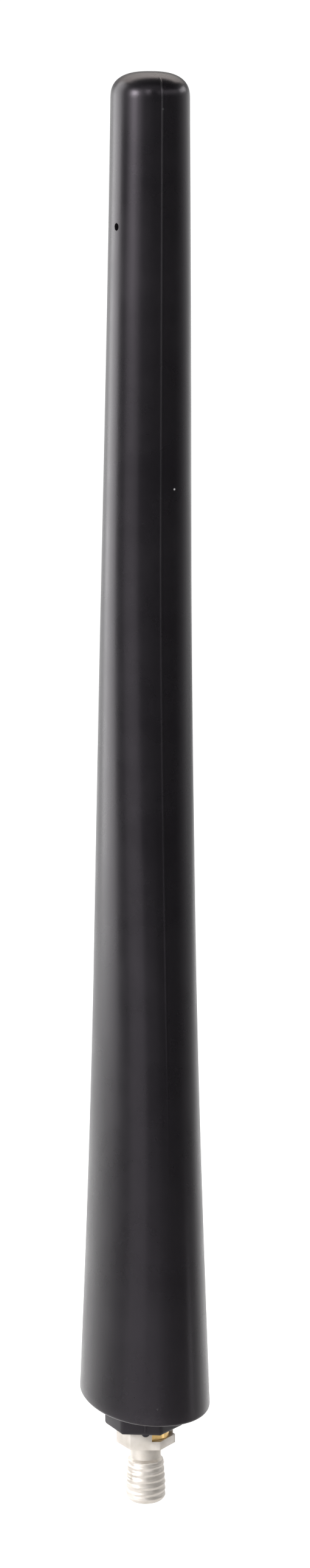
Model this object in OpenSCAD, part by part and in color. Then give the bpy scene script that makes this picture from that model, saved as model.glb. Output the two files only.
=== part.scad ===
// Car mast aerial: a moulded black mast of oval section on a threaded stud.
// The mast stands along +Z. The origin is the centre of the flange's underside,
// the face that seats on the aerial base, and the stud points down from it.
// The oval's long axis lies along Y, and its slimmer leading edge faces -Y.

/* [Mast] */
// Height of the mast's tip above the seat face
mast_top_z = 203.2; // [150:0.1:260]
// Height of the mast's lower rim above the seat face
rim_z = 7; // [6:0.1:9]
// Half width of the oval just below the domed tip
tip_half_width = 5.5; // [5:0.05:8]
// Depth of the leading edge from the stud's axis at the tip
tip_front = 6.95; // [6:0.05:9]
// Depth of the trailing edge from the stud's axis at the tip
tip_back = 6.45; // [6:0.05:9]
// How much the half width grows down the whole mast by its even taper
taper_gain = 2.4; // [1:0.05:4]
// How much more the half width gains in the flare above the rim
flare_gain = 1.3; // [0:0.05:3]
// Height of the flare above the rim
flare_height = 68; // [40:1:80]
// How late the flare swells, as an exponent
flare_power = 1.85; // [1.2:0.1:2.5]
// How much deeper the leading edge is at the rim than at the tip
front_gain = 7.2; // [4:0.1:10]
// Height above the rim at which the leading edge starts its sweep
front_sweep = 133; // [90:1:150]
// How much deeper the trailing edge is at the rim than at the tip
back_gain = 9.4; // [4:0.1:10]
// Height of the domed tip
dome_height = 3.8; // [2:0.1:5]
// Fullness of the dome, as a superellipse exponent
dome_power = 2.6; // [2:0.1:4]
// Fullness of the oval section, as a superellipse exponent
oval_power = 2.1; // [2:0.05:2.6]
// Radius of the rounded edge round the rim
rim_edge = 0.5; // [0.3:0.1:0.8]
// Width of the lip round the recess in the underside
rim_lip = 1.6; // [1.2:0.1:2.4]
// Depth of the recess in the underside
recess_depth = 1.6; // [0.8:0.1:2.4]

/* [Moulding marks] */
// Width of the raised parting seam down both edges
seam_width = 0.42; // [0.3:0.02:0.6]
// Height of the parting seam
seam_height = 0.1; // [0.05:0.01:0.2]
// Diameter of the holes that the core's locating pins left
pin_hole_d = 1.1; // [0.8:0.1:1.5]
// Distance between the two pin holes
pin_hole_pitch = 4.8; // [4:0.1:5.6]
// Distance of the pin holes below the tip
pin_hole_drop = 21.8; // [16:0.1:28]
// Depth of the pin holes, measured from the oval's greatest width
pin_hole_depth = 2.4; // [1.8:0.1:2.6]

/* [Hexagons] */
// Turn of the collar about the stud's axis, from the oval's long axis
collar_turn = -19; // [-30:1:30]
// Turn of the plated flange about the stud's axis
flange_turn = -16; // [-30:1:30]
// Wall of the black collar round the ferrule, at its flats
collar_wall = 1.6; // [1.2:0.05:2.2]
// How far the moulded collar sits off the stud's axis, towards -X
collar_shift = 0.3; // [0:0.05:0.5]
// Radius of the collar's lower edge
collar_edge = 0.6; // [0.4:0.1:1]
// How far the collar reaches up into the mast's underside
collar_engage = 2.6; // [1.5:0.1:4]
// Radius of the round gate lug under the collar's front edge
gate_radius = 0.65; // [0.4:0.05:0.8]
// How far the gate lug hangs below the collar
gate_drop = 0.4; // [0.1:0.05:0.5]
// Distance of the gate lug and mould line from the middle of the collar's front face
gate_side = 0.6; // [0:0.05:1]
// Width of the mould line up the collar's front face
witness_width = 0.3; // [0.2:0.05:0.5]
// Height of that mould line off the face
witness_height = 0.06; // [0.04:0.01:0.15]
// Wall of the plated flange round the ferrule, at its flats
flange_wall = 0.24; // [0.2:0.02:0.6]
// Height of the flange
flange_height = 2.75; // [2.5:0.05:3.5]
// Size of the small bevels on the flange's lower corners
flange_bevel = 0.25; // [0.1:0.05:0.4]

/* [Notch] */
// Distance from the axis to the side wall of the flange's milled notch
notch_side = 1; // [0.6:0.05:1.6]
// How far the notch runs past the axis towards the back
notch_behind = 0.6; // [0:0.05:1]
// Height of the notch's floor above the seat face
notch_floor = 1.3; // [0.8:0.05:1.5]

/* [Stud] */
// Outer diameter of the thread
thread_d = 6; // [5:0.1:8]
// Pitch of the thread
thread_pitch = 1; // [0.8:0.05:1.25]
// Length of the threaded part with its end bevel
thread_length = 6.9; // [5:0.1:12]
// Height of the bevel at the stud's end
end_bevel = 1; // [0.5:0.1:1.2]
// How much thinner the neck between flange and thread is than the thread's root
neck_relief = 0.2; // [0:0.05:0.4]
// Length of the neck
neck_length = 2.2; // [1.5:0.1:3]

/* [Core] */
// Outer diameter of the brass ferrule
ferrule_d = 7.1; // [6.4:0.1:7.4]
// Height of the ferrule's foot above the seat face
ferrule_foot = 0.6; // [0.4:0.05:0.7]
// Height of the ferrule's top above the seat face
ferrule_top = 24; // [20:0.5:30]
// Width of the ferrule's two grip grooves
grip_groove_width = 1.2; // [0.8:0.1:2]
// Depth of the grip grooves
grip_groove_depth = 0.4; // [0.2:0.05:0.6]
// Diameter of the glass-fibre rod
rod_d = 2.5; // [2:0.1:3]
// Depth to which the rod is pushed into the ferrule
rod_engage = 12; // [8:0.5:16]
// Diameter of the copper wire
wire_d = 0.5; // [0.4:0.05:0.6]
// Pitch of the open winding
winding_pitch = 6; // [5:0.5:10]
// Pitch of the close winding at the tip
close_pitch = 2; // [1.6:0.1:3]
// Height of the close winding
close_height = 24; // [12:1:40]
// Wall of the shrunk sleeve over the winding
sleeve_wall = 0.35; // [0.3:0.05:0.5]
// Height of the solder bead on the ferrule
solder_height = 0.9; // [0.6:0.1:1.5]
// Diameter of the cap on the rod's end
cap_d = 4.6; // [4.4:0.1:5]
// Height of that cap
cap_height = 4; // [3:0.1:6]
// Solid wall left above the cap
tip_wall = 6; // [4.5:0.1:8]

/* [Hidden] */
$fn = 64;
eps = 0.01;
// Clearance of moulded and pressed fits, each side
fit_gap = 0.05;
// Clearance of the winding from the rod and the sleeve
wire_gap = 0.08;
// Clearance between the ends of the inner pieces
end_gap = 0.1;
// Clearance of the gate lug from the flange
lug_gap = 0.25;
// How far a cutting solid reaches past the face that it opens
overcut = 1;
// Share of the seam's width that is flat on top
seam_flat = 0.6;
// Share of the dome's height at which its rings end in a flat point
dome_share = 0.999;
// Share of the cap's height that stays solid above the rod
cap_skin = 1 / 3;
// How much a metric thread's root is smaller than its outer diameter, in pitches
root_share = 1.227;

mast_height = mast_top_z - rim_z;
bore_d = ferrule_d + 2 * fit_gap;
collar_af = bore_d + 2 * collar_wall;
flange_af = bore_d + 2 * flange_wall;
neck_d = thread_d - root_share * thread_pitch - neck_relief;
recess_z = rim_z + recess_depth;
collar_top = recess_z + collar_engage;
wire_radius = wire_d / 2;
coil_radius = rod_d / 2 + wire_radius + wire_gap;
sleeve_in = coil_radius + wire_radius + wire_gap;
sleeve_out = sleeve_in + sleeve_wall;
cap_top = mast_top_z - tip_wall;
cap_foot = cap_top - cap_height;
rod_foot = ferrule_top - rod_engage;
rod_top = cap_top - cap_height * cap_skin;
solder_top = ferrule_top + solder_height;
sleeve_foot = solder_top + end_gap;
sleeve_top = cap_foot - end_gap;
wire_foot = sleeve_foot + wire_radius;
wire_top = sleeve_top - wire_radius;
close_foot = wire_top - close_height;

// Facets of the lofted mast: points round a section, rings up its side and in its dome
half_points = 28;
side_rings = 34;
dome_rings = 9;
edge_rings = 3;

// Facets of the winding
wire_sides = 6;
turn_steps = 14;

function smooth(t) = let (u = max(0, min(1, t))) u * u * (3 - 2 * u);
function power_of(base, exponent) = base <= 0 ? 0 : pow(base, exponent);

// Half width, leading depth and trailing depth of the section at a height
function half_width(z) =
    let (down = (mast_top_z - z) / mast_height,
         in_flare = (rim_z + flare_height - z) / flare_height)
    tip_half_width + taper_gain * down + flare_gain * power_of(in_flare, flare_power);
function front_depth(z) =
    tip_front + front_gain * smooth((rim_z + front_sweep - z) / front_sweep);
function back_depth(z) =
    tip_back + back_gain * smooth((mast_top_z - z) / mast_height);

// One point of the superellipse of power n with half axes a and b, at angle t
function oval_x(t, b) = b * sign(cos(t)) * power_of(abs(cos(t)), 2 / oval_power);
function oval_y(t, a) = a * sign(sin(t)) * power_of(abs(sin(t)), 2 / oval_power);

// Angles round a section from the trailing edge to the leading edge on one side,
// leaving the seam's width free at both ends
function side_angles() =
    [for (i = [1 : half_points - 1]) 90 - 180 * i / half_points];

// A section at height z, drawn in by inset and scaled about its own centre
function section(z, inset, scale_by) =
    let (b = (half_width(z) - inset) * scale_by,
         mid = (back_depth(z) - front_depth(z)) / 2,
         a = ((back_depth(z) + front_depth(z)) / 2 - inset) * scale_by,
         s = seam_width / 2 * scale_by,
         h = seam_height * scale_by)
    concat(
        [[s, mid + a]],
        [for (t = side_angles()) [oval_x(t, b), mid + oval_y(t, a)]],
        [[s, mid - a], [s * seam_flat, mid - a - h], [-s * seam_flat, mid - a - h], [-s, mid - a]],
        [for (t = side_angles()) [-oval_x(t, b), mid - oval_y(t, a)]],
        [[-s, mid + a], [-s * seam_flat, mid + a + h], [s * seam_flat, mid + a + h]]);

// Heights, insets and scales of the rings from the rim to the tip
function dome_scale(up) = power_of(1 - power_of(1 - up, dome_power), 1 / dome_power);
dome_foot = mast_top_z - dome_height;
rings = concat(
    [for (i = [0 : edge_rings - 1])
        let (turn = 90 * i / edge_rings)
        [rim_z + rim_edge * (1 - cos(turn)), rim_edge * (1 - sin(turn)), 1]],
    [for (i = [0 : side_rings])
        [rim_z + rim_edge + (dome_foot - rim_z - rim_edge) * i / side_rings, 0, 1]],
    [for (i = [1 : dome_rings])
        let (turn = 90 * i / dome_rings)
        [dome_foot + dome_height * sin(turn) * dome_share,
         0, dome_scale(1 - sin(turn) * dome_share)]]);

module loft(layers) {
    count = len(layers[0]);
    last = len(layers) - 1;
    polyhedron(
        points = [for (layer = layers) each layer],
        faces = concat(
            [[for (i = [0 : count - 1]) i]],
            [for (k = [0 : last - 1]) for (i = [0 : count - 1])
                let (j = (i + 1) % count)
                each [[k * count + i, (k + 1) * count + i, (k + 1) * count + j],
                      [k * count + i, (k + 1) * count + j, k * count + j]]],
            [[for (i = [0 : count - 1]) last * count + count - 1 - i]]));
}

module mast_body() {
    loft([for (r = rings) [for (p = section(r[0], r[1], r[2])) [p[0], p[1], r[0]]]]);
}

module underside_recess() {
    translate([0, 0, rim_z - eps])
        linear_extrude(recess_depth + eps)
            polygon([for (t = [0 : 5 : 355])
                let (b = half_width(rim_z) - rim_lip,
                     a = (back_depth(rim_z) + front_depth(rim_z)) / 2 - rim_lip,
                     mid = (back_depth(rim_z) - front_depth(rim_z)) / 2)
                [oval_x(t, b), mid + oval_y(t, a)]]);
}

module hexagon(across_flats, height, turn) {
    rotate([0, 0, turn])
        cylinder(h = height, r = across_flats / 2 / cos(30), $fn = 6);
}

// The mast's sheath: oval loft, recess, socket for the collar and bore for the core
module mast_cover() {
    color([0.13, 0.13, 0.14])
    difference() {
        mast_body();
        underside_recess();
        translate([-collar_shift, 0, recess_z - eps])
            hexagon(collar_af + 2 * fit_gap, collar_engage + eps, collar_turn);
        cylinder(h = ferrule_top + end_gap, d = bore_d);
        cylinder(h = cap_top, r = max(sleeve_out, cap_d / 2) + fit_gap);
        for (side = [-1, 1])
            translate([-half_width(mast_top_z - pin_hole_drop) - overcut,
                       side * pin_hole_pitch / 2, mast_top_z - pin_hole_drop])
                rotate([0, 90, 0])
                    cylinder(h = pin_hole_depth + overcut, d = pin_hole_d, $fn = 24);
    }
}

// Hexagon of the collar with its rounded lower corners
module collar_body() {
    corner = collar_af / 2 / cos(30);
    height = collar_top - flange_height;
    intersection() {
        hexagon(collar_af, height, collar_turn);
        rotate_extrude()
            polygon(concat(
                [[0, 0]],
                [for (t = [0 : 15 : 90])
                    [corner - collar_edge + collar_edge * sin(t),
                     collar_edge * (1 - cos(t))]],
                [[corner, height], [0, height]]));
    }
}

// Round lug that the mould's gate left under the collar's front edge
module gate_lug() {
    reach = (collar_af - flange_af) / 2 - lug_gap;
    translate([gate_side, -collar_af / 2 + eps, gate_radius - gate_drop])
        rotate([-90, 0, 0])
            cylinder(h = reach, r = gate_radius, $fn = 32);
}

module mould_line() {
    translate([gate_side - witness_width / 2, -collar_af / 2 - witness_height, collar_edge])
        cube([witness_width, 2 * witness_height,
              recess_z - flange_height - collar_edge - fit_gap]);
}

// Black collar: hexagon round the ferrule, a gate lug and a mould line
module hex_collar() {
    color([0.1, 0.1, 0.11])
    difference() {
        translate([-collar_shift, 0, flange_height])
            union() {
                collar_body();
                rotate([0, 0, collar_turn]) {
                    gate_lug();
                    mould_line();
                }
            }
        translate([0, 0, flange_height - gate_radius])
            cylinder(h = collar_top, d = bore_d);
    }
}

module notch_cut() {
    rotate([0, 0, flange_turn])
        translate([notch_side, notch_behind - 2 * flange_af, notch_floor])
            cube([flange_af, 2 * flange_af, flange_height]);
}

// Plated stud: hexagonal flange with its notch and ferrule seat, neck and thread
module threaded_stud() {
    corner = flange_af / 2 / cos(30);
    tip_z = -neck_length - thread_length;
    color([0.78, 0.77, 0.75])
    union() {
        difference() {
            intersection() {
                hexagon(flange_af, flange_height, flange_turn);
                cylinder(h = flange_height, r1 = corner - flange_bevel,
                         r2 = corner - flange_bevel + flange_height);
            }
            translate([0, 0, ferrule_foot])
                cylinder(h = flange_height, d = bore_d);
            notch_cut();
        }
        translate([0, 0, -neck_length - eps])
            cylinder(h = neck_length + 2 * eps, d = neck_d);
        translate([0, 0, tip_z + end_bevel])
            cylinder(h = thread_length - end_bevel, d = thread_d);
        translate([0, 0, tip_z])
            cylinder(h = end_bevel + eps, d1 = thread_d - 2 * end_bevel, d2 = thread_d);
    }
}

// Brass ferrule: stands in the flange, holds the rod and carries the solder
module brass_ferrule() {
    mid_z = (collar_top + ferrule_top) / 2;
    color([0.72, 0.53, 0.25])
    difference() {
        translate([0, 0, ferrule_foot])
            cylinder(h = ferrule_top - ferrule_foot, d = ferrule_d);
        translate([0, 0, rod_foot])
            cylinder(h = rod_engage + eps, d = rod_d + 2 * fit_gap);
        for (side = [-1, 1])
            translate([0, 0, mid_z + side * grip_groove_width - grip_groove_width / 2])
                difference() {
                    cylinder(h = grip_groove_width, d = ferrule_d + overcut);
                    cylinder(h = grip_groove_width, d = ferrule_d - 2 * grip_groove_depth);
                }
    }
}

// Solder bead round the rod on the ferrule's top face
module solder_joint() {
    color([0.6, 0.61, 0.62])
    translate([0, 0, ferrule_top])
        rotate_extrude()
            polygon(concat(
                [[rod_d / 2 + fit_gap, 0], [ferrule_d / 2 - grip_groove_depth, 0]],
                [for (t = [20 : 20 : 80])
                    [rod_d / 2 + fit_gap
                        + (ferrule_d / 2 - grip_groove_depth - rod_d / 2 - fit_gap)
                          * (1 - sin(t)),
                     solder_height * (1 - cos(t))]],
                [[rod_d / 2 + fit_gap, solder_height]]));
}

module core_rod() {
    color([0.85, 0.83, 0.7])
    translate([0, 0, rod_foot])
        cylinder(h = rod_top - rod_foot, d = rod_d);
}

// Height of the winding's centre line after a number of turns
open_turns = (close_foot - wire_foot) / winding_pitch;
all_turns = open_turns + close_height / close_pitch;
function wire_z(turns) = turns < open_turns
    ? wire_foot + turns * winding_pitch
    : close_foot + (turns - open_turns) * close_pitch;

// Copper winding: open turns up the rod, then close turns under the cap
module coil_wire() {
    steps = floor(all_turns * turn_steps);
    color([0.75, 0.42, 0.25])
    loft([for (i = [0 : steps])
        let (turns = all_turns * i / steps, angle = -360 * turns)
        [for (k = [0 : wire_sides - 1])
            let (side = 360 * k / wire_sides,
                 r = coil_radius + wire_radius * cos(side))
            [r * cos(angle), r * sin(angle), wire_z(turns) + wire_radius * sin(side)]]]);
}

module shrink_sleeve() {
    color([0.05, 0.05, 0.05])
    translate([0, 0, sleeve_foot])
        difference() {
            cylinder(h = sleeve_top - sleeve_foot, r = sleeve_out);
            translate([0, 0, -overcut])
                cylinder(h = sleeve_top - sleeve_foot + 2 * overcut, r = sleeve_in);
        }
}

// Cap that closes the rod's end and centres the core in the sheath
module rod_cap() {
    color([0.35, 0.35, 0.36])
    difference() {
        translate([0, 0, cap_foot])
            cylinder(h = cap_height, d = cap_d);
        translate([0, 0, cap_foot - eps])
            cylinder(h = rod_top - cap_foot + end_gap + eps, d = rod_d + 2 * fit_gap);
    }
}

mast_cover();
hex_collar();
threaded_stud();
brass_ferrule();
solder_joint();
core_rod();
coil_wire();
shrink_sleeve();
rod_cap();
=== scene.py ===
import math

import bmesh
import bpy
from mathutils import Matrix, Vector


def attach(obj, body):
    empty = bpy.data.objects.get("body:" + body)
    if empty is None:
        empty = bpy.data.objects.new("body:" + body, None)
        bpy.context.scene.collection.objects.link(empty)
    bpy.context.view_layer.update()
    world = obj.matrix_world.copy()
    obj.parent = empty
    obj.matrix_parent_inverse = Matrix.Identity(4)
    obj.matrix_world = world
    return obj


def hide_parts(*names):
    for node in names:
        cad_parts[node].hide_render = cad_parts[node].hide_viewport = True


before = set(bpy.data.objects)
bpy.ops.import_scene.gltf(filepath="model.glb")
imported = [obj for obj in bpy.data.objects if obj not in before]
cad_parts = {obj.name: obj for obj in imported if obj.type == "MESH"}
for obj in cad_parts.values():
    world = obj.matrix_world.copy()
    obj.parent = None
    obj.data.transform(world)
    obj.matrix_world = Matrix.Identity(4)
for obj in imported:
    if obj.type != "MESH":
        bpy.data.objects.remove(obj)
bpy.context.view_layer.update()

MM = 0.001

# Mast, in millimetres, as in the part's source
MAST_TOP_Z = 203.2
RIM_Z = 7.0
TIP_HALF_WIDTH = 5.5
TIP_FRONT = 6.95
TIP_BACK = 6.45
TAPER_GAIN = 2.4
FLARE_GAIN = 1.3
FLARE_HEIGHT = 68.0
FLARE_POWER = 1.85
FRONT_GAIN = 7.2
FRONT_SWEEP = 133.0
BACK_GAIN = 9.4
DOME_HEIGHT = 3.8
DOME_POWER = 2.6
OVAL_POWER = 2.1
RIM_EDGE = 0.5
RIM_LIP = 1.6
RECESS_DEPTH = 1.6
RECESS_Z = RIM_Z + RECESS_DEPTH
SEAM_WIDTH = 0.42
SEAM_HEIGHT = 0.1
PIN_HOLE_D = 1.1
PIN_HOLE_PITCH = 4.8
PIN_HOLE_DROP = 21.8
PIN_HOLE_DEPTH = 2.4

# Hexagons, notch and stud, in millimetres, as in the part's source
FIT_GAP = 0.05
LUG_GAP = 0.25
FERRULE_D = 7.1
FERRULE_FOOT = 0.6
BORE_D = FERRULE_D + 2 * FIT_GAP
COLLAR_TURN = math.radians(-19)
COLLAR_WALL = 1.6
COLLAR_AF = BORE_D + 2 * COLLAR_WALL
COLLAR_SHIFT = 0.3
COLLAR_EDGE = 0.6
COLLAR_ENGAGE = 2.6
COLLAR_TOP = RECESS_Z + COLLAR_ENGAGE
GATE_RADIUS = 0.65
GATE_DROP = 0.4
GATE_SIDE = 0.6
WITNESS_WIDTH = 0.3
WITNESS_HEIGHT = 0.06
FLANGE_TURN = math.radians(-16)
FLANGE_WALL = 0.24
FLANGE_AF = BORE_D + 2 * FLANGE_WALL
FLANGE_HEIGHT = 2.75
NOTCH_SIDE = 1.0
NOTCH_BEHIND = 0.6
NOTCH_FLOOR = 1.3
THREAD_D = 6.0
THREAD_PITCH = 1.0
THREAD_LENGTH = 6.9
ROOT_SHARE = 1.227
NECK_RELIEF = 0.2
NECK_D = THREAD_D - ROOT_SHARE * THREAD_PITCH - NECK_RELIEF
NECK_LENGTH = 2.2
END_BEVEL = 1.0
STUD_TIP_Z = -NECK_LENGTH - THREAD_LENGTH

# How far a cutter reaches past what it cuts, in millimetres
OVERCUT = 1.0

# The photograph's view, in metres: level with the tip, looking down on the foot
VIEW_AZIMUTH = math.radians(-15)
VIEW_ELEVATION = math.radians(9.98)
VIEW_ROLL = math.radians(0.186)
VIEW_DISTANCE = 0.6
AIM_Z = 0.1005
AIM_RIGHT = 0.00107
FRAME_HEIGHT_PX = 2576
FOCAL_PX = 6742
SENSOR_MM = 36.0
CLIP_START = 0.01
CLIP_END = 60


def smooth(t):
    """A step from 0 to 1 that starts and ends flat."""
    u = max(0.0, min(1.0, t))
    return u * u * (3 - 2 * u)


def power_of(base, exponent):
    """A power that stays 0 below 0."""
    return 0.0 if base <= 0 else base ** exponent


def half_width(z):
    down = (MAST_TOP_Z - z) / (MAST_TOP_Z - RIM_Z)
    in_flare = (RIM_Z + FLARE_HEIGHT - z) / FLARE_HEIGHT
    return TIP_HALF_WIDTH + TAPER_GAIN * down + FLARE_GAIN * power_of(in_flare, FLARE_POWER)


def front_depth(z):
    return TIP_FRONT + FRONT_GAIN * smooth((RIM_Z + FRONT_SWEEP - z) / FRONT_SWEEP)


def back_depth(z):
    return TIP_BACK + BACK_GAIN * smooth((MAST_TOP_Z - z) / (MAST_TOP_Z - RIM_Z))


def oval_point(t, a, b):
    """The point at angle t of a squared-off oval, a deep along Y and b wide along X."""
    c, s = math.cos(t), math.sin(t)
    x = b * math.copysign(power_of(abs(c), 2 / OVAL_POWER), c)
    y = a * math.copysign(power_of(abs(s), 2 / OVAL_POWER), s)
    return x, y


# Meshes

ROD_SIDES = 96
BEVEL_ANGLE = 40
SMOOTH_PLASTIC = 35
SMOOTH_METAL = 40


def new_object(name, data):
    obj = bpy.data.objects.new(name, data)
    bpy.context.scene.collection.objects.link(obj)
    return obj


def skin(name, rings):
    """A closed skin over rings of equal length in millimetres, capped at both ends."""
    count = len(rings[0])
    verts = [tuple(c * MM for c in p) for ring in rings for p in ring]
    faces = [tuple(reversed(range(count)))]
    for k in range(len(rings) - 1):
        low, high = k * count, (k + 1) * count
        for i in range(count):
            j = (i + 1) % count
            faces.append((low + i, low + j, high + j, high + i))
    faces.append(tuple((len(rings) - 1) * count + i for i in range(count)))
    mesh = bpy.data.meshes.new(name)
    mesh.from_pydata(verts, [], faces)
    mesh.validate()
    return new_object(name, mesh)


def circle(radius, z, sides):
    return [(radius * math.cos(2 * math.pi * i / sides),
             radius * math.sin(2 * math.pi * i / sides), z) for i in range(sides)]


def turned(points, turn, shift):
    """Points turned about the axis and then moved by shift along X."""
    c, s = math.cos(turn), math.sin(turn)
    return [(x * c - y * s + shift, x * s + y * c, z) for x, y, z in points]


def rod(name, radius, z0, z1):
    """A round bar along Z, as a cutter for the bores."""
    return skin(name, [circle(radius, z, ROD_SIDES) for z in (z0, z1)])


def block(name, low, high, turn, shift=0.0):
    (x0, y0, z0), (x1, y1, z1) = low, high
    return skin(name, [turned([(x0, y0, z), (x1, y0, z), (x1, y1, z), (x0, y1, z)], turn, shift)
                       for z in (z0, z1)])


def hexagon(name, across_flats, z0, z1, turn, shift=0.0):
    radius = across_flats / 2 / math.cos(math.radians(30))
    return skin(name, [turned(circle(radius, z, 6), turn, shift) for z in (z0, z1)])


def apply_modifiers(obj):
    bpy.context.view_layer.update()
    graph = bpy.context.evaluated_depsgraph_get()
    mesh = bpy.data.meshes.new_from_object(obj.evaluated_get(graph))
    obj.modifiers.clear()
    old = obj.data
    obj.data = mesh
    bpy.data.meshes.remove(old)


def combine(obj, tools, operation):
    """Cut the tools from an object or join them to it, and delete them."""
    for tool in tools:
        modifier = obj.modifiers.new("combine", "BOOLEAN")
        modifier.operation = operation
        modifier.solver = "EXACT"
        modifier.object = tool
    apply_modifiers(obj)
    for tool in tools:
        bpy.data.objects.remove(tool)


def bevel(obj, width_mm, segments, angle_deg=BEVEL_ANGLE):
    """Round every edge sharper than the angle."""
    modifier = obj.modifiers.new("bevel", "BEVEL")
    modifier.width = width_mm * MM
    modifier.segments = segments
    modifier.limit_method = "ANGLE"
    modifier.angle_limit = math.radians(angle_deg)
    apply_modifiers(obj)


def shade(obj, angle_deg):
    """Smooth shading that keeps every edge sharper than the angle."""
    bm = bmesh.new()
    bm.from_mesh(obj.data)
    bmesh.ops.recalc_face_normals(bm, faces=bm.faces)
    limit = math.radians(angle_deg)
    for face in bm.faces:
        face.smooth = True
    for edge in bm.edges:
        edge.smooth = len(edge.link_faces) == 2 and edge.calc_face_angle(0) < limit
    bm.to_mesh(obj.data)
    bm.free()


# The mast's moulded skin

SIDE_STEPS = 72
SEAM_STEPS = 6
SIDE_RINGS = 150
DOME_RINGS = 24
EDGE_RINGS = 6
RECESS_SIDES = 144
HOLE_SIDES = 32

# Heights between which the seam grows from nothing to its full height
SEAM_FADE = (35.0, 85.0)

# How fast the oval's points next to the seam spread outwards at the least, in half seam
# widths for each point
SEAM_SPREAD = 0.2

# The dome stops just short of its pole, so that its last ring stays open enough to cap
DOME_SHARE = 0.9995


def mast_section(z, inset, scale):
    """One ring, anticlockwise: right side, trailing seam, left side, leading seam."""
    b = (half_width(z) - inset) * scale
    mid = (back_depth(z) - front_depth(z)) / 2
    a = ((back_depth(z) + front_depth(z)) / 2 - inset) * scale
    seam = SEAM_WIDTH / 2 * scale
    raised = smooth((z - SEAM_FADE[0]) / (SEAM_FADE[1] - SEAM_FADE[0]))
    ring = []
    for end in (1, -1):
        for i in range(1, SIDE_STEPS):
            t = math.radians(-90 + 180 * i / SIDE_STEPS)
            x, y = oval_point(t, a, b)
            x = max(x, seam * (1 + SEAM_SPREAD * min(i, SIDE_STEPS - i)))
            ring.append((end * x, mid + end * y, z))
        for i in range(SEAM_STEPS + 1):
            u = 1 - 2 * i / SEAM_STEPS
            lift = SEAM_HEIGHT * raised * scale * (0.5 + 0.5 * math.cos(math.pi * u))
            ring.append((end * u * seam, mid + end * (a + lift), z))
    return ring


def mast_rings():
    """Rings up the rounded rim edge, the side and the dome."""
    rings = []
    for i in range(EDGE_RINGS):
        turn = math.radians(90 * i / EDGE_RINGS)
        rings.append(mast_section(RIM_Z + RIM_EDGE * (1 - math.cos(turn)),
                                  RIM_EDGE * (1 - math.sin(turn)), 1))
    foot = RIM_Z + RIM_EDGE
    dome_foot = MAST_TOP_Z - DOME_HEIGHT
    for i in range(SIDE_RINGS + 1):
        rings.append(mast_section(foot + (dome_foot - foot) * i / SIDE_RINGS, 0, 1))
    for i in range(1, DOME_RINGS + 1):
        up = math.sin(math.radians(90 * i / DOME_RINGS)) * DOME_SHARE
        scale = power_of(1 - power_of(up, DOME_POWER), 1 / DOME_POWER)
        rings.append(mast_section(dome_foot + DOME_HEIGHT * up, 0, scale))
    return rings


def recess_ring(z):
    b = half_width(RIM_Z) - RIM_LIP
    mid = (back_depth(RIM_Z) - front_depth(RIM_Z)) / 2
    a = (back_depth(RIM_Z) + front_depth(RIM_Z)) / 2 - RIM_LIP
    points = [oval_point(math.radians(360 / RECESS_SIDES * i), a, b) for i in range(RECESS_SIDES)]
    return [(x, mid + y, z) for x, y in points]


def pin_hole(side):
    """A cutter along X for one of the two holes on the left, in front (-1) or behind (1)."""
    hole_z = MAST_TOP_Z - PIN_HOLE_DROP
    start = -half_width(hole_z)
    rings = []
    for x in (start - OVERCUT, start + PIN_HOLE_DEPTH):
        rings.append([(x, side * PIN_HOLE_PITCH / 2 + p[0], hole_z + p[1])
                      for p in circle(PIN_HOLE_D / 2, 0, HOLE_SIDES)])
    return skin("hole", rings)


def make_mast():
    mast = skin("mast_skin", mast_rings())
    recess = skin("recess", [recess_ring(RIM_Z - OVERCUT), recess_ring(RECESS_Z)])
    socket = hexagon("socket", COLLAR_AF + 2 * FIT_GAP, RIM_Z, COLLAR_TOP, COLLAR_TURN,
                     -COLLAR_SHIFT)
    combine(mast, [recess, socket, pin_hole(-1), pin_hole(1)], "DIFFERENCE")
    shade(mast, SMOOTH_PLASTIC)
    return mast


# The black collar under the rim

LUG_SIDES = 40
LUG_SETBACK = 0.3
LUG_ROUND = 0.25
WITNESS_ROUND = 0.05
CORNER_ROUND = 0.5

# The lower edge's rounding, as a share of the edge that the part's source states
EDGE_SHARE = 0.8
EDGE_SEGMENTS = 6

# Gap between the collar's top and the end of its socket
SOCKET_GAP = 0.02


def make_gate_lug():
    front = COLLAR_AF / 2
    middle = FLANGE_HEIGHT + GATE_RADIUS - GATE_DROP
    reach = (COLLAR_AF - FLANGE_AF) / 2 - LUG_GAP
    rings = []
    for y in (-front + LUG_SETBACK, -front + reach):
        ring = [(GATE_SIDE + p[0], y, middle - p[1]) for p in circle(GATE_RADIUS, 0, LUG_SIDES)]
        rings.append(turned(ring, COLLAR_TURN, -COLLAR_SHIFT))
    lug = skin("lug", rings)
    bevel(lug, LUG_ROUND, segments=4)
    return lug


def make_witness_line():
    front = COLLAR_AF / 2
    low = (GATE_SIDE - WITNESS_WIDTH / 2, -front - WITNESS_HEIGHT, FLANGE_HEIGHT + COLLAR_EDGE)
    high = (GATE_SIDE + WITNESS_WIDTH / 2, -front + WITNESS_HEIGHT, RECESS_Z - FIT_GAP)
    witness = block("witness", low, high, COLLAR_TURN, -COLLAR_SHIFT)
    bevel(witness, WITNESS_ROUND, segments=2)
    return witness


def round_lower_edges(obj, middle_z):
    bm = bmesh.new()
    bm.from_mesh(obj.data)
    lower = [e for e in bm.edges if all(v.co.z < middle_z for v in e.verts)]
    bmesh.ops.bevel(bm, geom=lower, offset=COLLAR_EDGE * EDGE_SHARE * MM, offset_type="OFFSET",
                    segments=EDGE_SEGMENTS, profile=0.5, affect="EDGES")
    bm.to_mesh(obj.data)
    bm.free()


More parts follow.
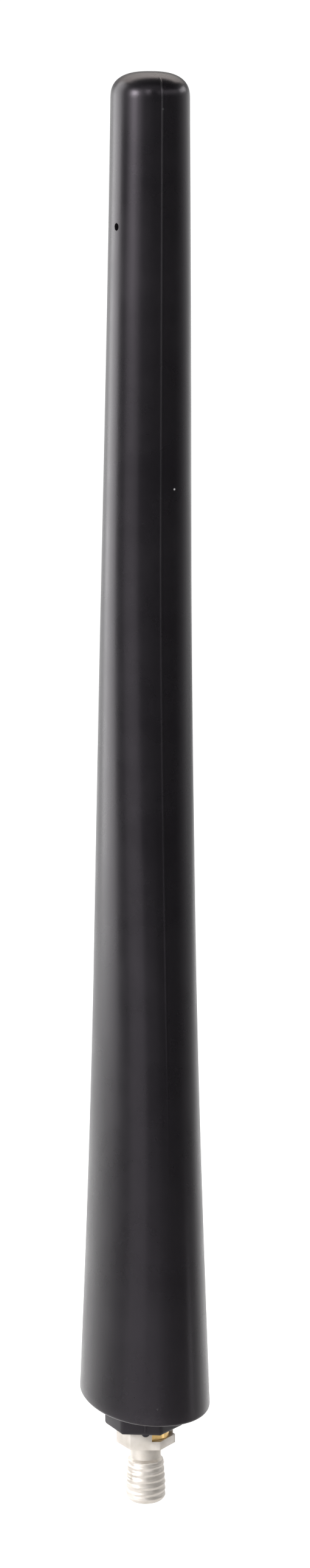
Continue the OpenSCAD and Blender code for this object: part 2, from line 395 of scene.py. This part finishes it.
def make_collar():
    top = COLLAR_TOP - SOCKET_GAP
    collar = hexagon("collar_skin", COLLAR_AF, FLANGE_HEIGHT, top, COLLAR_TURN, -COLLAR_SHIFT)
    round_lower_edges(collar, (FLANGE_HEIGHT + top) / 2 * MM)
    bevel(collar, CORNER_ROUND, segments=5)
    bore = rod("bore", BORE_D / 2, FLANGE_HEIGHT - OVERCUT, top + OVERCUT)
    combine(collar, [bore], "DIFFERENCE")
    witness = make_witness_line()
    combine(collar, [make_gate_lug(), witness], "UNION")
    shade(collar, SMOOTH_PLASTIC)
    return collar


# The plated stud with its helical thread

THREAD_SIDES = 144
ROWS_PER_MM = 30
THREAD_DEPTH = 0.1
RIDGE_POWER = 0.8

# A second, finer wave down the thread, and where it stands against the crests
THREAD_RIPPLE = 0.014
RIPPLE_PHASE = 0.8

# Wear of the crests: its depth, and its two waves, each with its count round the axis and
# its radians per millimetre of height
THREAD_WEAR = 0.025
WEAR_WAVES = ((5, 7), (3, -4.3))

# Under the neck the first crests are lower by this much, over this length, and the thread
# starts out from the neck at this slope
FIRST_CREST_LOSS = 0.3
CREST_RUN = 4.0
RUN_IN_SLOPE = 1.2
NECK_FILLET = 0.35

# Extra narrowing of the rounded end at its very tip
END_TAPER = 0.25

# How far the shank reaches up into the flange
SHANK_OVERLAP = 0.3
FLANGE_ROUND = 0.12
FLANGE_BEVEL_ANGLE = 35


def end_limit(z):
    """Radius of the stud's rounded end at a height."""
    low = THREAD_D / 2 - END_BEVEL
    up = min(1.0, (z - STUD_TIP_Z) / END_BEVEL)
    return low + END_BEVEL * math.sqrt(max(0.0, 1 - (1 - up) ** 2)) - END_TAPER * (1 - up)


def thread_radius(angle, z):
    """Radius of the neck, thread and rounded end at an angle and height."""
    if z > -NECK_LENGTH:
        up = min(max(0.0, z + NECK_FILLET), NECK_FILLET)
        return NECK_D / 2 + NECK_FILLET - math.sqrt(NECK_FILLET ** 2 - up ** 2)
    phase = z / THREAD_PITCH - angle / (2 * math.pi)
    ridge = 0.5 + 0.5 * math.cos(2 * math.pi * phase)
    start = -NECK_LENGTH - z
    wear = THREAD_WEAR
    for count, climb in WEAR_WAVES:
        wear *= math.sin(count * angle + climb * z)
    crest = THREAD_D / 2 - FIRST_CREST_LOSS * max(0.0, 1 - start / CREST_RUN) + wear
    ripple = THREAD_RIPPLE * math.cos(4 * math.pi * phase + RIPPLE_PHASE)
    radius = crest - THREAD_DEPTH * (1 - ridge ** RIDGE_POWER) - THREAD_RIPPLE + ripple
    return min(radius, end_limit(z), NECK_D / 2 + start * RUN_IN_SLOPE)


def make_shank():
    rows = round((SHANK_OVERLAP - STUD_TIP_Z) * ROWS_PER_MM)
    rings = []
    for k in range(rows + 1):
        z = STUD_TIP_Z + (SHANK_OVERLAP - STUD_TIP_Z) * k / rows
        ring = []
        for i in range(THREAD_SIDES):
            angle = 2 * math.pi * i / THREAD_SIDES
            r = thread_radius(angle, z)
            ring.append((r * math.cos(angle), r * math.sin(angle), z))
        rings.append(ring)
    return skin("shank", rings)


def make_stud():
    shank = make_shank()
    stud = hexagon("stud_skin", FLANGE_AF, 0, FLANGE_HEIGHT, FLANGE_TURN)
    seat = rod("seat", BORE_D / 2, FERRULE_FOOT, FLANGE_HEIGHT + OVERCUT)
    combine(stud, [seat], "DIFFERENCE")
    notch = block("notch", (NOTCH_SIDE, NOTCH_BEHIND - 2 * FLANGE_AF, NOTCH_FLOOR),
                  (NOTCH_SIDE + FLANGE_AF, NOTCH_BEHIND, FLANGE_HEIGHT + OVERCUT), FLANGE_TURN)
    combine(stud, [notch], "DIFFERENCE")
    bevel(stud, FLANGE_ROUND, segments=3, angle_deg=FLANGE_BEVEL_ANGLE)
    combine(stud, [shank], "UNION")
    shade(stud, SMOOTH_METAL)
    return stud


# Materials

# The span of a noise over which a colour or roughness goes from its low to its high end
NOISE_LOW = 0.3
NOISE_HIGH = 0.7

# Scales of the noises, in waves per metre
PLASTIC_MOTTLE = 90
PLASTIC_GRAIN = 2600
METAL_CLOUDS = 420
METAL_LINES = 700

# Gloss of the plastics: a low specular level with a faint violet tint
PLASTIC_SPECULAR = 0.3
PLASTIC_TINT = (1.0, 0.9, 1.02, 1)

# Light nicks on the mast, each a place in millimetres and how much it lightens
SPECKS = (((0.08, -6.95, 197.95), 0.07), ((2.08, -6.57, 144.3), 0.55),
          ((-1.93, -13.86, 9.75), 0.02))
SPECK_RADIUS = 0.2
SPECK_CORE = SPECK_RADIUS / 3

# Painted highlight on the seam's ridge, its colour made paler: the half width of its full
# paleness, where it ends, its level
SEAM_HIGHLIGHT_CORE = 0.07
SEAM_HIGHLIGHT_END = 0.16
SEAM_HIGHLIGHT_LEVEL = 0.015


def new_material(name):
    mat = bpy.data.materials.new(name)
    mat.use_nodes = True
    return mat, mat.node_tree, mat.node_tree.nodes["Principled BSDF"]


def object_place(tree):
    return tree.nodes.new("ShaderNodeTexCoord").outputs["Object"]


def object_noise(tree, scale, detail, roughness, stretch=(1, 1, 1)):
    mapping = tree.nodes.new("ShaderNodeMapping")
    mapping.inputs["Scale"].default_value = stretch
    noise = tree.nodes.new("ShaderNodeTexNoise")
    noise.inputs["Scale"].default_value = scale
    noise.inputs["Detail"].default_value = detail
    noise.inputs["Roughness"].default_value = roughness
    tree.links.new(object_place(tree), mapping.inputs["Vector"])
    tree.links.new(mapping.outputs["Vector"], noise.inputs["Vector"])
    return noise.outputs["Fac"]


def map_range(tree, source, start, end, low, high):
    """A node that goes from low to high as its source goes from start to end."""
    node = tree.nodes.new("ShaderNodeMapRange")
    node.inputs["From Min"].default_value = start
    node.inputs["From Max"].default_value = end
    node.inputs["To Min"].default_value = low
    node.inputs["To Max"].default_value = high
    tree.links.new(source, node.inputs["Value"])
    return node


def product(tree, first, second):
    node = tree.nodes.new("ShaderNodeMath")
    node.operation = "MULTIPLY"
    tree.links.new(first, node.inputs[0])
    tree.links.new(second, node.inputs[1])
    return node.outputs["Value"]


def vary(tree, shader, noise, dark, light, rough):
    """Colour from dark to light, and roughness along its pair, with the same noise."""
    ramp = tree.nodes.new("ShaderNodeValToRGB")
    ramp.color_ramp.elements[0].position = NOISE_LOW
    ramp.color_ramp.elements[0].color = (*dark, 1)
    ramp.color_ramp.elements[1].position = NOISE_HIGH
    ramp.color_ramp.elements[1].color = (*light, 1)
    tree.links.new(noise, ramp.inputs["Fac"])
    tree.links.new(ramp.outputs["Color"], shader.inputs["Base Color"])
    roughness = map_range(tree, noise, NOISE_LOW, NOISE_HIGH, *rough)
    tree.links.new(roughness.outputs["Result"], shader.inputs["Roughness"])


def bump_from(tree, shader, noise, height_mm):
    bump = tree.nodes.new("ShaderNodeBump")
    bump.inputs["Distance"].default_value = height_mm * MM
    tree.links.new(noise, bump.inputs["Height"])
    tree.links.new(bump.outputs["Normal"], shader.inputs["Normal"])


def plastic(name, dark, light, rough, grain_mm):
    """Moulded plastic: a slow mottle in colour and gloss under a fine grain."""
    mat, tree, shader = new_material(name)
    shader.inputs["Specular IOR Level"].default_value = PLASTIC_SPECULAR
    shader.inputs["Specular Tint"].default_value = PLASTIC_TINT
    mottle = object_noise(tree, PLASTIC_MOTTLE, detail=5, roughness=0.6)
    grain = object_noise(tree, PLASTIC_GRAIN, detail=2, roughness=0.5)
    vary(tree, shader, mottle, dark, light, rough)
    bump_from(tree, shader, grain, grain_mm)
    return mat


def metal(name, dark, light, rough, grain_mm, stretch=(1, 1, 1), polish=1.0):
    """Metal with clouds of tarnish and fine lines; polish below 1 adds a dull white sheen."""
    mat, tree, shader = new_material(name)
    shader.inputs["Metallic"].default_value = polish
    clouds = object_noise(tree, METAL_CLOUDS, detail=3, roughness=0.5)
    lines = object_noise(tree, METAL_LINES, detail=1, roughness=0.5, stretch=stretch)
    vary(tree, shader, clouds, dark, light, rough)
    bump_from(tree, shader, lines, grain_mm)
    return mat


def lighten(mat, amount):
    """Add an amount of white to a material's colour."""
    tree = mat.node_tree
    colour = tree.nodes["Principled BSDF"].inputs["Base Color"]
    lighter = tree.nodes.new("ShaderNodeVectorMath")
    lighter.operation = "ADD"
    tree.links.new(colour.links[0].from_socket, lighter.inputs[0])
    tree.links.new(amount, lighter.inputs[1])
    tree.links.new(lighter.outputs["Vector"], colour)


def add_speck(mat, spot, level):
    """A light nick in the skin."""
    tree = mat.node_tree
    away = tree.nodes.new("ShaderNodeVectorMath")
    away.operation = "DISTANCE"
    away.inputs[1].default_value = [c * MM for c in spot]
    tree.links.new(object_place(tree), away.inputs[0])
    near = map_range(tree, away.outputs["Value"], SPECK_RADIUS * MM, SPECK_CORE * MM, 0, level)
    lighten(mat, near.outputs["Result"])


def paint_seam_highlight(mat):
    """A painted highlight: paler colour along the seam's ridge, strongest at the tip."""
    tree = mat.node_tree
    axes = tree.nodes.new("ShaderNodeSeparateXYZ")
    tree.links.new(object_place(tree), axes.inputs["Vector"])
    side = tree.nodes.new("ShaderNodeMath")
    side.operation = "ABSOLUTE"
    tree.links.new(axes.outputs["X"], side.inputs[0])
    ridge = map_range(tree, side.outputs["Value"], SEAM_HIGHLIGHT_END * MM, SEAM_HIGHLIGHT_CORE * MM,
                      0, SEAM_HIGHLIGHT_LEVEL)
    fade = map_range(tree, axes.outputs["Z"], SEAM_FADE[1] * MM, MAST_TOP_Z * MM, 0, 1)
    lighten(mat, product(tree, ridge.outputs["Result"], fade.outputs["Result"]))


def dress(obj, mat):
    obj.data.materials.clear()
    obj.data.materials.append(mat)


def dress_node(name, mat):
    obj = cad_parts[name]
    if not obj.material_slots:
        obj.data.materials.append(mat)
    for slot in obj.material_slots:
        slot.material = mat


MAST_BLACK = plastic("mast_black", dark=(0.006, 0.0055, 0.0066), light=(0.009, 0.0083, 0.0096),
                     rough=(0.24, 0.32), grain_mm=0.004)
for spot, level in SPECKS:
    add_speck(MAST_BLACK, spot, level)
# The seam's ridge gets a painted highlight in its colour
paint_seam_highlight(MAST_BLACK)
COLLAR_BLACK = plastic("collar_black", dark=(0.007, 0.0065, 0.0075),
                       light=(0.012, 0.0113, 0.0125), rough=(0.4, 0.5), grain_mm=0.004)
PLATED = metal("plated_metal", dark=(0.54, 0.5, 0.45), light=(0.72, 0.678, 0.635),
               rough=(0.42, 0.54), grain_mm=0.010, stretch=(1.5, 1.5, 0.6), polish=0.9)
BRASS = metal("bare_brass", dark=(0.6, 0.36, 0.11), light=(0.9, 0.64, 0.28),
              rough=(0.14, 0.22), grain_mm=0.004, stretch=(0.3, 0.3, 4))
SOLDER = metal("solder", dark=(0.4, 0.41, 0.42), light=(0.56, 0.57, 0.58),
               rough=(0.3, 0.5), grain_mm=0.02)
COPPER = metal("copper", dark=(0.5, 0.2, 0.1), light=(0.7, 0.34, 0.2),
               rough=(0.2, 0.35), grain_mm=0.003)
GLASS_FIBRE = plastic("glass_fibre", dark=(0.5, 0.47, 0.33), light=(0.66, 0.63, 0.48),
                      rough=(0.35, 0.5), grain_mm=0.01)
SLEEVE = plastic("sleeve_black", dark=(0.012, 0.012, 0.012), light=(0.02, 0.02, 0.02),
                 rough=(0.55, 0.7), grain_mm=0.01)
CAP = plastic("cap_grey", dark=(0.12, 0.12, 0.125), light=(0.17, 0.17, 0.175),
              rough=(0.45, 0.6), grain_mm=0.008)


# Pieces

mast = make_mast()
dress(mast, MAST_BLACK)
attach(mast, "root")
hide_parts("mast_cover")

collar = make_collar()
dress(collar, COLLAR_BLACK)
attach(collar, "root")
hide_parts("hex_collar")

stud = make_stud()
dress(stud, PLATED)
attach(stud, "root")
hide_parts("threaded_stud")

dress_node("brass_ferrule", BRASS)
dress_node("solder_joint", SOLDER)
dress_node("core_rod", GLASS_FIBRE)
dress_node("coil_wire", COPPER)
dress_node("shrink_sleeve", SLEEVE)
dress_node("rod_cap", CAP)


# Studio, in metres

FLOOR_Z = -0.35
FLOOR_HALF_SIZE = 3.0
FLOOR_WHITE = (0.9, 0.9, 0.9, 1)
FLOOR_ROUGHNESS = 0.9
FLOOR_SPECULAR = 0.1

# The world's brightness on the camera's side and behind the object, and where it changes
# between them, as the cosine of the angle from straight behind
WORLD_FRONT = 0.12
WORLD_BACK = 1.1
WORLD_FALL = (-0.3, 0.95)

# The share of it left overhead, and where it changes, as the sine of the angle above level
WORLD_SKY = 0.3
WORLD_RISE = (0.03, 0.17)

# Heights that the softboxes face
FOOT = 0.0
MIDDLE = 0.1
TIP = 0.2
ABOVE_TIP = 0.37
HIGH = 0.65

# Height of the lights for the floor, below the photograph's camera, which then doesn't see
# their bright side
FLOOR_LIGHT_Z = 0.1
SWEEP_CENTRE = Vector((0.45, 2.4, 0))

WHITE = (1, 1, 1)
WARM = (1.0, 0.92, 0.86)


def make_floor():
    size = FLOOR_HALF_SIZE
    mesh = bpy.data.meshes.new("floor")
    mesh.from_pydata([(-size, -size, FLOOR_Z), (size, -size, FLOOR_Z),
                      (size, size, FLOOR_Z), (-size, size, FLOOR_Z)], [], [(0, 1, 2, 3)])
    floor = new_object("floor", mesh)
    mat, _, shader = new_material("floor_white")
    shader.inputs["Base Color"].default_value = FLOOR_WHITE
    shader.inputs["Roughness"].default_value = FLOOR_ROUGHNESS
    shader.inputs["Specular IOR Level"].default_value = FLOOR_SPECULAR
    dress(floor, mat)


def direction(azimuth_deg, elevation_deg):
    """Unit vector towards a light, its azimuth counted from the camera to its left."""
    turn = VIEW_AZIMUTH - math.radians(azimuth_deg)
    rise = math.radians(elevation_deg)
    return Vector((math.sin(turn) * math.cos(rise), -math.cos(turn) * math.cos(rise),
                   math.sin(rise)))


def area_light(name, place, target, width, height, radiance, colour):
    light = bpy.data.lights.new(name, "AREA")
    light.color = colour
    light.shape = "RECTANGLE"
    light.size = width
    light.size_y = height
    light.energy = radiance * math.pi * width * height
    obj = new_object(name, light)
    obj.location = place
    obj.rotation_euler = (target - place).to_track_quat("-Z", "Y").to_euler()


def softbox(name, aim_z, azimuth, elevation, distance, width, height, radiance, colour=WHITE):
    """A light that faces the mast's axis at a height, placed round the camera's view."""
    target = Vector((0, 0, aim_z))
    place = target + distance * direction(azimuth, elevation)
    area_light(name, place, target, width, height, radiance, colour)


def floor_light(name, centre, width, depth, radiance):
    """A light that shines straight down on the floor."""
    area_light(name, centre + Vector((0, 0, FLOOR_LIGHT_Z)), centre + Vector((0, 0, FLOOR_Z)),
               width, depth, radiance, WHITE)


def make_lights():
    # The grey bands down the mast's left side and front, and a soft light over the front
    softbox("key", ABOVE_TIP, azimuth=124, elevation=0, distance=1.0,
            width=0.66, height=1.0, radiance=3.1)
    softbox("fill", MIDDLE, azimuth=60, elevation=0, distance=1.3,
            width=1.0, height=1.3, radiance=0.88)
    softbox("window", HIGH, azimuth=54, elevation=0, distance=1.35,
            width=1.15, height=0.9, radiance=1.6)
    softbox("ceiling", MIDDLE, azimuth=0, elevation=45, distance=1.5,
            width=1.8, height=1.0, radiance=0.45)
    # The grey top of the dome, lit from behind
    softbox("rear_top", TIP, azimuth=176, elevation=54, distance=1.0,
            width=1.5, height=0.34, radiance=2.9, colour=WARM)
    softbox("rear_low", TIP, azimuth=176, elevation=35, distance=1.0,
            width=1.5, height=0.36, radiance=1.2, colour=WARM)
    # The highlights round the dome's shoulder
    softbox("blob", MIDDLE, azimuth=16, elevation=26, distance=1.3,
            width=0.3, height=0.5, radiance=5.0)
    softbox("spot", TIP, azimuth=62, elevation=13, distance=1.3,
            width=0.4, height=0.36, radiance=25.0)
    softbox("side_spot", TIP, azimuth=-117, elevation=17, distance=1.3,
            width=0.8, height=0.28, radiance=4.4)
    softbox("dome_band", TIP, azimuth=-54, elevation=20, distance=1.3,
            width=1.8, height=0.4, radiance=1.5)
    # A small light from the right and below, for the notch and the stud
    softbox("glint", FOOT, azimuth=-94, elevation=-16, distance=1.0,
            width=0.2, height=0.1, radiance=1.6)
    # The floor in front of the mast, which its foot and stud mirror, and the floor behind it
    floor_light("apron", direction(azimuth_deg=17, elevation_deg=0),
                width=0.7, depth=0.6, radiance=3.0)
    floor_light("sweep", SWEEP_CENTRE, width=2.4, depth=3.7, radiance=1.2)


def make_world():
    """A white sweep behind the object that falls off to grey on the camera's side and above."""
    world = bpy.data.worlds.new("studio")
    bpy.context.scene.world = world
    world.use_nodes = True
    tree = world.node_tree
    background = tree.nodes["Background"]
    background.inputs["Color"].default_value = (*WHITE, 1)
    place = tree.nodes.new("ShaderNodeTexCoord")
    behind = tree.nodes.new("ShaderNodeVectorMath")
    behind.operation = "DOT_PRODUCT"
    behind.inputs[1].default_value = -direction(0, 0)
    tree.links.new(place.outputs["Generated"], behind.inputs[0])
    fall = map_range(tree, behind.outputs["Value"], *WORLD_FALL, WORLD_FRONT, WORLD_BACK)
    fall.interpolation_type = "SMOOTHSTEP"
    axes = tree.nodes.new("ShaderNodeSeparateXYZ")
    tree.links.new(place.outputs["Generated"], axes.inputs["Vector"])
    sky = map_range(tree, axes.outputs["Z"], *WORLD_RISE, 1, WORLD_SKY)
    strength = product(tree, fall.outputs["Result"], sky.outputs["Result"])
    tree.links.new(strength, background.inputs["Strength"])


def make_camera():
    cam = bpy.data.cameras.new("camera")
    cam.sensor_fit = "VERTICAL"
    cam.sensor_height = SENSOR_MM
    cam.lens = FOCAL_PX * SENSOR_MM / FRAME_HEIGHT_PX
    cam.clip_start = CLIP_START
    cam.clip_end = CLIP_END
    obj = new_object("camera", cam)
    a, e = VIEW_AZIMUTH, VIEW_ELEVATION
    back = Vector((math.sin(a) * math.cos(e), -math.cos(a) * math.cos(e), math.sin(e)))
    right = Vector((math.cos(a), math.sin(a), 0))
    up = back.cross(right)
    turn = Matrix((right, up, back)).transposed() @ Matrix.Rotation(VIEW_ROLL, 3, "Z")
    place = Vector((0, 0, AIM_Z)) + back * VIEW_DISTANCE + right * AIM_RIGHT
    obj.matrix_world = Matrix.Translation(place) @ turn.to_4x4()
    bpy.context.scene.camera = obj


make_floor()
make_lights()
make_world()
make_camera()
bpy.context.scene.view_settings.view_transform = "Standard"
